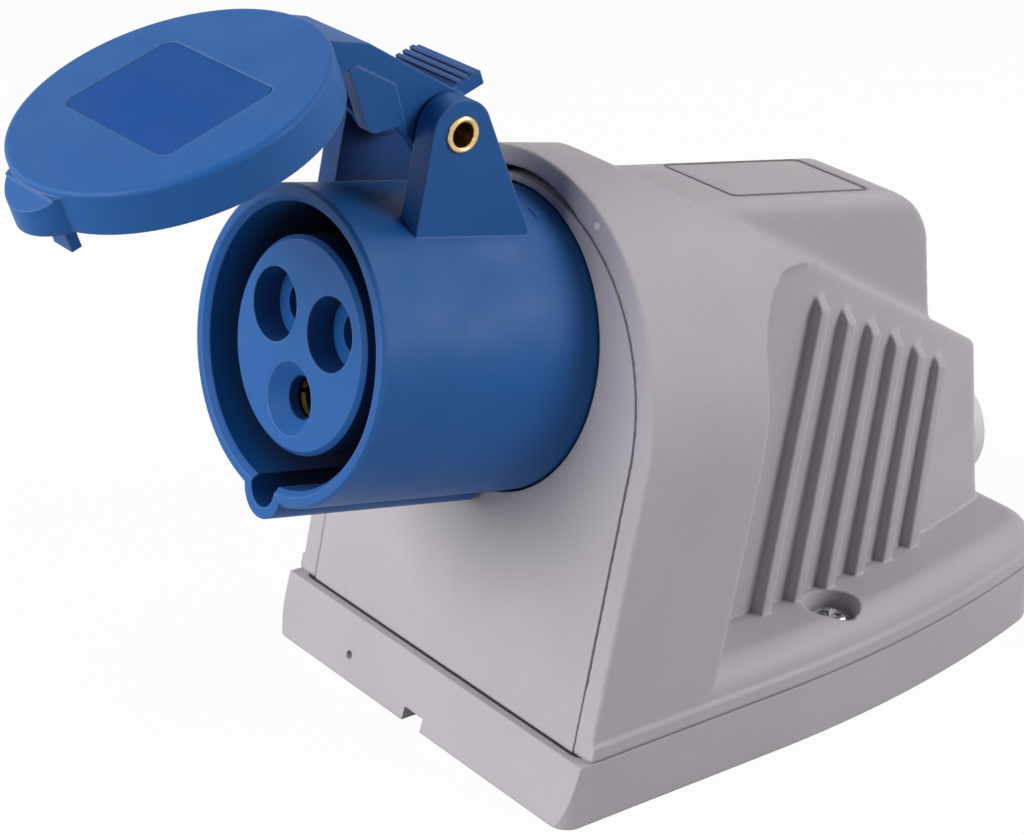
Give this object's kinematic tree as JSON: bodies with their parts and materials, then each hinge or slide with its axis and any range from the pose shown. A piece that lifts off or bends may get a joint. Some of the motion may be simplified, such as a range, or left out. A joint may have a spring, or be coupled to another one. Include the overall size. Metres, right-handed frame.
{
  "type": "industrial wall socket",
  "caption": "Wall-mounted industrial power socket: blue round shrouded outlet with a hinged lid, on a grey ribbed housing with a rear cable gland.",
  "frame": {"origin": "centre of the wall-screw pattern on the back plane of the base", "axes": "+Z out of the wall, +Y along the base to the cable end, X across; the outlet points to -Y and leans up 10.5 degrees"},
  "size_m": [0.087, 0.2063, 0.1334],
  "materials": {
    "housing_grey": "fine matt moulded plastic",
    "outlet_blue": "satin moulded plastic",
    "contact_brass": "bright turned brass",
    "screw_steel": "zinc-plated steel",
    "seal_rubber": "soft black rubber",
    "gland_nylon": "pale nylon"
  },
  "bodies": {
    "housing": {"back_box": "housing_grey", "hood": "housing_grey", "base_seal": "seal_rubber", "cover_screws": "screw_steel", "front_panel": "housing_grey", "panel_screws": "screw_steel", "gland_body": "gland_nylon", "gland_nut": "gland_nylon", "gland_seal": "seal_rubber", "gland_locknut": "gland_nylon"},
    "outlet": {"socket_shell": "outlet_blue", "shell_seal": "seal_rubber", "contact_carrier": "outlet_blue", "contact_retainer": "outlet_blue", "carrier_screw": "screw_steel", "line_contact": "contact_brass", "neutral_contact": "contact_brass", "earth_contact": "contact_brass", "contact_clips": "screw_steel", "terminal_screws": "screw_steel", "hinge_pin": "contact_brass", "lid_spring": "screw_steel"},
    "lid": {"lid": "outlet_blue", "lid_gasket": "seal_rubber"}
  },
  "joints": [
    {"name": "outlet_twist", "type": "hinge", "parent": "housing", "child": "outlet", "pos_m": [0, -0.0468, 0.0712], "axis": [0, -0.9833, 0.1822], "range_deg": [0, 40]},
    {"name": "lid_hinge", "type": "hinge", "parent": "outlet", "child": "lid", "pos_m": [0, -0.06579, 0.11469], "axis": [1, 0, 0], "range_deg": [-45, 60], "deforming": ["lid_spring"]}
  ]
}
